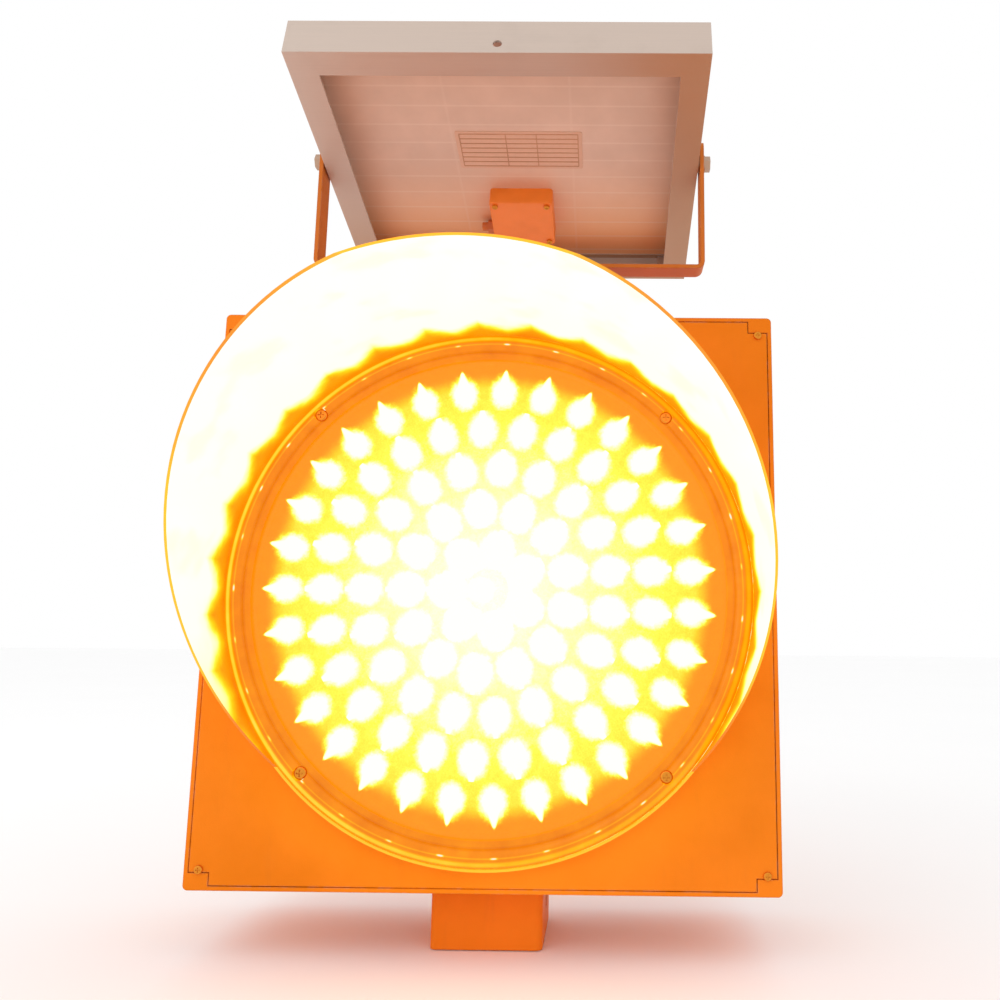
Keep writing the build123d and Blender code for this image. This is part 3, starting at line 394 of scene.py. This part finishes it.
def visor_inside(tree, at, angle, ahead, dz):
    """Brightness inside the visor: flooded, with a scalloped orange band next to the lens."""
    off = tree.size_of(off_nearest(tree, angle, float(OUTER_COUNT)))
    scallop = tree.times(tree.math("POWER", tree.times(off, 2.0), 1.4), 13.0)
    wobble = tree.times(tree.subtract(tree.noise(at, 40.0, 3.0, 0.6), 0.5), 14.0)
    depth = tree.subtract(ahead, tree.add(tree.add(scallop, wobble), 13.0))
    flood = tree.step(depth, -6.0, 19.0, 0.16, 1.04)
    flood = tree.subtract(flood, tree.step(tree.noise(at, 26.0, 2.0, 0.5), 0.45, 0.7, 0.0, 0.10))
    flood = tree.times(flood, tree.step(dz, -118.0, -10.0, 0.52, 1.0))
    # a bright uneven line where the visor meets the housing
    foot = tree.times(tree.step(ahead, 8.6, 6.0), tree.step(ahead, 2.0, 5.0))
    lumps = tree.step(tree.noise(at, 95.0, 3.0, 0.6), 0.35, 0.62, 0.40, 0.85)
    return tree.most(flood, tree.times(foot, lumps), clamp=True)


def lit_visor(name):
    """Amber visor: its inside is flooded by the lamp, its outside glows faintly through."""
    tree = Tree(name)
    at = tree.coords()
    radius, angle, ahead, dx, dz = polar(tree, at)
    normal_x, _, normal_z = tree.true_normal()
    outward = tree.math("DIVIDE", tree.add(tree.times(normal_x, dx), tree.times(normal_z, dz)), radius)
    inner = tree.step(outward, -0.35, -0.6)
    cut_edge = tree.step(tree.size_of(outward), 0.35, 0.15)
    skin = tree.noise(at, 14.0, 3.0, 0.6)
    outside = tree.add(tree.step(ahead, 0.0, 150.0, 0.10, 0.30), tree.times(skin, 0.08))
    level = tree.add(tree.times(visor_inside(tree, at, angle, ahead, dz), inner),
                     tree.times(outside, tree.subtract(1.0, inner)))
    level = tree.most(level, tree.times(cut_edge, 0.40))
    lit = tree.most(inner, tree.times(cut_edge, 0.8))
    tree.set(Emission_Color=tree.ramp(level, GLOW), Emission_Strength=tree.add(tree.times(lit, 0.55), 0.38))
    tree.set(Base_Color=tree.mix(tree.step(skin, 0.3, 0.7), (0.50, 0.115, 0.003), (0.62, 0.155, 0.005)))
    tree.set(Roughness=tree.step(tree.noise(at, 500.0, 3.0, 0.5), 0.3, 0.7, 0.28, 0.42))
    tree.bump(tree.noise(at, 420.0, 3.0, 0.5), 0.12, 0.0003)
    return tree.mat


# ---- the solar panel ----
def panel_places(tree, vector):
    """Places across the panel and back from its middle, in mm, in the panel's own directions."""
    x, y, z = tree.split(vector)
    dy = tree.times(tree.subtract(y, PIVOT.y), MM * math.cos(PANEL_LEAN))
    dz = tree.times(tree.subtract(z, PIVOT.z), MM * math.sin(PANEL_LEAN))
    back = tree.subtract(tree.subtract(dy, dz), PANEL_MIDDLE * MM)
    return tree.times(x, MM), back


def frame_metal(name):
    """Satin anodised rails, drawn lengthwise, tinted with painted warm lamp light, with painted lamp light
    and shade on their undersides, darker and more orange towards the right and rear.
    """
    tree = Tree(name)
    at = tree.coords()
    across, back = panel_places(tree, at)
    lines = tree.noise(tree.stretched(at, 0.6, 40.0, 40.0), 24.0, 3.0, 0.6)
    stain = tree.step(tree.noise(at, 30.0, 5.0, 0.65), 0.5, 0.75)
    # the warm tint of the silver metal is painted lamp light; the stains are real
    body = tree.mix(tree.times(stain, 0.12), (0.57, 0.46, 0.39), (0.36, 0.28, 0.23))
    body = tree.mix(tree.step(lines, 0.35, 0.65, 0.0, 0.22), body, (0.66, 0.53, 0.45))
    # painted lamp light and shade: undersides go darker and more orange towards the right rail and the rear
    under = tree.step(tree.true_normal()[2], -0.5, -0.9)
    warm = tree.most(tree.step(across, 20.0, 135.0), tree.step(back, -30.0, 120.0))
    body = tree.mix(tree.times(tree.times(warm, under), 0.85), body, (0.46, 0.235, 0.115))
    tree.set(Base_Color=body, Roughness=tree.step(lines, 0.3, 0.7, 0.30, 0.48), Metallic=0.25)
    tree.bump(lines, 0.12, 0.0002)
    return tree.mat


def back_film(name):
    """Pale laminate film tinted with painted orange lamp light, warmer towards the lamp, with the rows of
    cells showing faintly through it.
    """
    tree = Tree(name)
    at = tree.coords()
    across, back = panel_places(tree, at)
    off_row = tree.size_of(tree.off_whole(tree.math("DIVIDE", back, ROW_PITCH_MM)))
    row_line = tree.step(off_row, 0.065, 0.02)
    off_column = tree.size_of(tree.off_whole(tree.math("DIVIDE", across, COLUMN_PITCH_MM)))
    column_line = tree.step(tree.size_of(tree.subtract(off_column, 0.5)), 0.014, 0.006, 0.0, 0.4)
    fine = tree.noise(at, 260.0, 3.0, 0.6)
    slow = tree.noise(at, 16.0, 4.0, 0.6)
    # painted lamp light: the white film's pinkish tone, growing more orange towards the rear
    body = tree.mix(tree.step(slow, 0.3, 0.7), (0.71, 0.51, 0.40), (0.80, 0.58, 0.46))
    body = tree.mix(tree.step(back, -20.0, 110.0), body, (0.90, 0.46, 0.22))
    body = tree.mix(tree.times(tree.most(row_line, column_line), 0.26), body, (0.92, 0.76, 0.64))
    tree.set(Base_Color=body, Roughness=tree.step(fine, 0.3, 0.7, 0.42, 0.58))
    tree.bump(fine, 0.1, 0.0003)
    return tree.mat


def cell_face(name):
    """Dark blue cells with fine fingers and bright busbars, four to a column."""
    finger_pitch = 1.9
    tree = Tree(name)
    at = tree.coords()
    across, back = panel_places(tree, at)
    finger = tree.step(tree.size_of(tree.off_whole(tree.math("DIVIDE", back, finger_pitch))), 0.10, 0.05)
    busbar = tree.size_of(tree.off_whole(tree.math("DIVIDE", across, COLUMN_PITCH_MM / 4)))
    busbar = tree.step(busbar, 0.045, 0.03)
    grain = tree.noise(at, 180.0, 4.0, 0.8)
    body = tree.mix(grain, (0.010, 0.018, 0.060), (0.030, 0.050, 0.150))
    body = tree.mix(tree.times(finger, 0.25), body, (0.35, 0.38, 0.45))
    body = tree.mix(busbar, body, (0.62, 0.64, 0.66))
    tree.set(Base_Color=body, Roughness=0.22)
    tree.bump(grain, 0.05, 0.0002)
    return tree.mat


def clear_glass(name):
    """Toughened glass over the cells, faintly green and smeared, more reflective at a slant."""
    tree = Tree(name)
    smear = tree.noise(tree.stretched(tree.coords(), 3.0, 14.0, 3.0), 3.0, 5.0, 0.7)
    weight = tree.nodes.new("ShaderNodeLayerWeight")
    weight.inputs["Blend"].default_value = 0.3
    slant = tree.times(tree.math("POWER", weight.outputs["Facing"], 3.0), 0.45)
    tree.set(Base_Color=tree.mix(smear, (0.80, 0.90, 0.86), (0.90, 0.96, 0.94)))
    tree.set(Roughness=tree.step(smear, 0.3, 0.75, 0.03, 0.10))
    tree.set(Alpha=tree.add(slant, tree.step(smear, 0.4, 0.8, 0.02, 0.06), clamp=True))
    return tree.mat


def blank_film(name):
    """Thin blank film over the back sheet, slightly warmer than it."""
    tree = Tree(name)
    fibre = tree.noise(tree.coords(), 320.0, 4.0, 0.6)
    tree.set(Base_Color=tree.mix(fibre, (0.70, 0.42, 0.28), (0.80, 0.51, 0.36)))
    tree.set(Roughness=tree.step(fibre, 0.3, 0.7, 0.3, 0.45))
    tree.bump(fibre, 0.08, 0.0002)
    return tree.mat


# ---- a material for every slot ----
MATERIALS = {
    "housing_paint": paint("housing_paint", (0.88, 0.215, 0.004), 0.40, 0.10, glow=0.15),
    "socket_paint": paint("socket_paint", (0.90, 0.195, 0.004), 0.42, 0.18),
    "yoke_paint": paint("yoke_paint", (0.62, 0.165, 0.022), 0.42, 0.2),
    "visor_plastic": lit_visor("visor_plastic"),
    "bezel_plastic": lit_bezel("bezel_plastic"),
    "lens_plastic": lit_lens("lens_plastic"),
    "bowl_plastic": moulded("bowl_plastic", (0.05, 0.045, 0.04)),
    "led_resin": moulded("led_resin", (0.95, 0.42, 0.03), 0.2, 300.0, 0.08),
    "board_resin": moulded("board_resin", (0.02, 0.13, 0.05), 0.35, 260.0, 0.15, 0.2),
    "seal_rubber": moulded("seal_rubber", (0.02, 0.02, 0.02), 0.75, 420.0, 0.5),
    "lead_rubber": moulded("lead_rubber", (0.018, 0.018, 0.018), 0.55, 600.0, 0.2),
    "screw_steel": metal("screw_steel", (0.74, 0.70, 0.64), 0.26),
    "bracket_steel": metal("bracket_steel", (0.58, 0.60, 0.60), 0.36, scale=90.0, spots=0.4),
    "battery_plastic": moulded("battery_plastic", (0.02, 0.02, 0.022), 0.4),
    "case_plastic": moulded("case_plastic", (0.03, 0.04, 0.055), 0.42),
    "terminal_plastic": moulded("terminal_plastic", (0.02, 0.22, 0.06), 0.4),
    "gland_plastic": moulded("gland_plastic", (0.022, 0.022, 0.022), 0.42),
    "switch_plastic": moulded("switch_plastic", (0.02, 0.02, 0.02), 0.4),
    "rocker_plastic": moulded("rocker_plastic", (0.5, 0.02, 0.015), 0.22, 500.0, 0.1),
    "frame_aluminium": frame_metal("frame_aluminium"),
    "key_aluminium": metal("key_aluminium", (0.6, 0.6, 0.6), 0.4, along=(1.0, 30.0, 30.0), scale=20.0),
    "back_sheet_film": back_film("back_sheet_film"),
    "cell_silicon": cell_face("cell_silicon"),
    "panel_glass": clear_glass("panel_glass"),
    "junction_plastic": moulded("junction_plastic", (0.92, 0.215, 0.012), 0.45, 600.0, 0.3),
    "label_film": blank_film("label_film"),
}

# ---- small pieces that the lamp's light tints: painted orange lamp light on copies of their rubber, plastic and steel ----
warm_rubber = moulded("warm_rubber", (0.42, 0.085, 0.006), 0.7, 420.0, 0.4)
warm_gland = moulded("warm_gland", (0.60, 0.15, 0.02), 0.45, 600.0, 0.3)
warm_steel = metal("warm_steel", (0.72, 0.27, 0.03), 0.34)
lamp_tinted_steel = metal("lamp_tinted_steel", (0.50, 0.34, 0.24), 0.4, metallic=0.8)
LABEL_INK = moulded("label_ink", (0.58, 0.30, 0.17), 0.5, 500.0, 0.1)
TINTED = {
    "cover_gasket": warm_rubber,
    "junction_gland": warm_gland,
    "lens_screws": warm_steel,
    "cover_screws": warm_steel,
    "junction_screws": warm_steel,
    "tilt_bolts": lamp_tinted_steel,
    "tilt_washers": lamp_tinted_steel,
}
for name, node in NODES.items():
    node.data.materials.clear()
    node.data.materials.append(TINTED.get(name, MATERIALS[SLOT_OF[name]]))


# ---- shading of the CAD nodes ----
ROUND_NODES = (
    "visor", "lens_bezel", "lens_cover", "housing_shell", "pole_socket", "yoke", "top_post", "cable_gland",
    "lens_screws", "cover_screws", "rear_screws", "socket_bolts", "post_bolts", "tilt_bolts", "tilt_washers",
    "swivel_bolt", "junction_box", "junction_lid", "junction_gland", "junction_screws", "frame_front_rail",
    "frame_right_rail", "frame_rear_rail", "frame_left_rail",
)


def smooth_round(node, degrees=32.0):
    """Shades a CAD node smooth except across its real edges."""
    bpy.context.view_layer.objects.active = node
    node.select_set(True)
    bpy.ops.object.shade_auto_smooth(angle=math.radians(degrees))
    node.select_set(False)


# ---- pieces added to the CAD ----
def add_piece(name, bm, body, material, smooth=True):
    """A new mesh piece that rides on a CAD body, with the material given."""
    mesh = bpy.data.meshes.new(name)
    bmesh.ops.recalc_face_normals(bm, faces=bm.faces)
    bm.to_mesh(mesh)
    bm.free()
    for face in mesh.polygons:
        face.use_smooth = smooth
    piece = bpy.data.objects.new(name, mesh)
    bpy.context.scene.collection.objects.link(piece)
    mesh.materials.append(material)
    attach(piece, body)


def dome_y(radius):
    """Front of the domed lens at a radius from its middle."""
    ball = (DOME_EDGE ** 2 + DOME_RISE ** 2) / (2 * DOME_RISE)
    return RIM_FRONT_Y - (math.sqrt(ball ** 2 - radius ** 2) - (ball - DOME_RISE))


OPTIC_RISE = 0.0016


def optic_loop(bm, ring, out, share):
    """One closed row of points round an LED's optic, at a share of the way to its outline."""
    around, full_size, sink = 28, 0.0086, 0.0002
    slim = 1.0 - 0.04 * ring
    point = 0.0014 * ring
    side = Vector((-out.y, out.x))
    size = full_size * share
    lift = OPTIC_RISE * (1 - share ** 2)
    if share == 1:
        lift -= sink
    loop = []
    for index in range(around):
        turn = 2 * math.pi * index / around
        stretch = size + point * share * max(0.0, math.cos(turn)) ** 6
        place = out * (ring * LED_PITCH + stretch * math.cos(turn)) + side * size * slim * math.sin(turn)
        y = dome_y(min(place.length, DOME_EDGE)) - lift
        loop.append(bm.verts.new((LENS_X + place.x, y, LENS_Z + place.y)))
    return loop


def optic(bm, ring, angle):
    """One teardrop dome on the lens: round towards the middle, drawn out to a point away from it."""
    rows = 6
    out = Vector((-math.cos(angle), math.sin(angle)))
    loops = [optic_loop(bm, ring, out, (row + 1) / rows) for row in range(rows)]
    reach = ring * LED_PITCH
    crown = bm.verts.new((LENS_X + out.x * reach, dome_y(reach) - OPTIC_RISE, LENS_Z + out.y * reach))
    around = len(loops[0])
    for index in range(around):
        after = (index + 1) % around
        bm.faces.new((crown, loops[0][after], loops[0][index]))
        for inner, outer in zip(loops, loops[1:]):
            bm.faces.new((inner[index], inner[after], outer[after], outer[index]))


def build_optics():
    """The lens's moulded optics, one over each LED."""
    bm = bmesh.new()
    for ring in range(LED_RINGS + 1):
        count = 1 + 6 * ring
        for index in range(count):
            optic(bm, ring, 2 * math.pi * index / count)
    add_piece("lens_optics", bm, "housing", MATERIALS["lens_plastic"])


def panel_point(x, back, up):
    """A place given in the panel's own directions from its tilt axis."""
    y = PIVOT.y + back * math.cos(PANEL_LEAN) + up * math.sin(PANEL_LEAN)
    z = PIVOT.z - back * math.sin(PANEL_LEAN) + up * math.cos(PANEL_LEAN)
    return (x, y, z)


def bar(bm, xs, backs, ups):
    """A straight bar between two places in each of the panel's directions."""
    corners = [bm.verts.new(panel_point(x, back, up)) for up in ups for back in backs for x in xs]
    for face in ((0, 1, 3, 2), (4, 6, 7, 5), (0, 4, 5, 1), (2, 3, 7, 6), (0, 2, 6, 4), (1, 5, 7, 3)):
        bm.faces.new([corners[index] for index in face])


def build_rules():
    """The label's border, columns and rows, as raised printed lines with nothing written."""
    lines, margin, half_line, half_back = 8, 0.003, 0.00035, 0.0165
    low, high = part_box("rating_label")
    middle_x = (low[0] + high[0]) / 2
    half_x = (high[0] - low[0]) / 2 - margin
    middle_back, middle_up = from_pivot("rating_label")
    ups = (middle_up - 0.00045, middle_up - 0.0001)
    bm = bmesh.new()
    for index in range(lines):
        back = middle_back + half_back * (2 * index / (lines - 1) - 1)
        bar(bm, (middle_x - half_x, middle_x + half_x), (back - half_line, back + half_line), ups)
    for share in (-1.0, -0.22, 0.30, 1.0):
        x = middle_x + half_x * share
        bar(bm, (x - half_line, x + half_line), (middle_back - half_back, middle_back + half_back), ups)
    add_piece("label_rules", bm, "solar_panel", LABEL_INK, smooth=False)


# ---- floor, light and camera ----
CAMERA_PLACE = (0.0738, -0.6593, 0.1999)
CAMERA_PITCH, CAMERA_ROLL, CAMERA_YAW = -0.1656, 0.0083, -0.0086
CAMERA_LENS_MM = 33.90
CAMERA_SHIFT = (-0.1005, -0.0330)


def build_stage():
    """A plain pale floor just under the object."""
    bm = bmesh.new()
    bmesh.ops.create_grid(bm, x_segments=8, y_segments=8, size=6.0)
    mesh = bpy.data.meshes.new("floor")
    bm.to_mesh(mesh)
    bm.free()
    floor = bpy.data.objects.new("floor", mesh)
    floor.location.z = CAD_BOX[0][2] - 0.0006
    bpy.context.scene.collection.objects.link(floor)
    tree = Tree("floor_pale")
    tone = tree.noise(tree.coords(), 3.0)
    tree.set(Base_Color=tree.mix(tone, (0.96, 0.96, 0.96), (0.98, 0.98, 0.98)), Roughness=0.9)
    mesh.materials.append(tree.mat)


def build_light():
    """White surroundings, a soft key from the front left and a low fill under the panel."""
    world = bpy.data.worlds.new("studio")
    bpy.context.scene.world = world
    world.use_nodes = True
    background = next(n for n in world.node_tree.nodes if n.type == "BACKGROUND")
    background.inputs["Color"].default_value = (1.0, 1.0, 1.0, 1.0)
    background.inputs["Strength"].default_value = 1.0
    aim = Vector((0, 0, 0.28))
    key = ("key", (-1.6, -1.8, 2.2), 1.6, 6.0)
    fill = ("fill", (-1.9, -0.6, 0.3), 1.4, 5.0)
    for name, place, size, power in (key, fill):
        light = bpy.data.lights.new(name, "AREA")
        light.size = size
        light.energy = power
        lamp = bpy.data.objects.new(name, light)
        lamp.location = place
        lamp.rotation_euler = (aim - Vector(place)).to_track_quat("-Z", "Y").to_euler()
        bpy.context.scene.collection.objects.link(lamp)
    bpy.context.scene.view_settings.view_transform = "Standard"


def build_camera():
    """Close in front of the lamp, level with it and right of its middle, looking slightly up."""
    turn = (Matrix.Rotation(CAMERA_YAW, 3, "Z") @ Matrix.Rotation(CAMERA_ROLL, 3, "Y")
            @ Matrix.Rotation(CAMERA_PITCH, 3, "X")).transposed()
    right, up, back = turn @ Vector((1, 0, 0)), turn @ Vector((0, 0, 1)), turn @ Vector((0, -1, 0))
    data = bpy.data.cameras.new("camera")
    data.sensor_width = 36.0
    data.lens = CAMERA_LENS_MM
    data.shift_x, data.shift_y = CAMERA_SHIFT
    data.clip_start = 0.02
    camera = bpy.data.objects.new("camera", data)
    facing = Matrix((right, up, back)).transposed().to_4x4()
    camera.matrix_world = Matrix.Translation(CAMERA_PLACE) @ facing
    bpy.context.scene.collection.objects.link(camera)
    bpy.context.scene.camera = camera


build_optics()
build_rules()
for name in ROUND_NODES:
    smooth_round(NODES[name])
build_stage()
build_light()
build_camera()
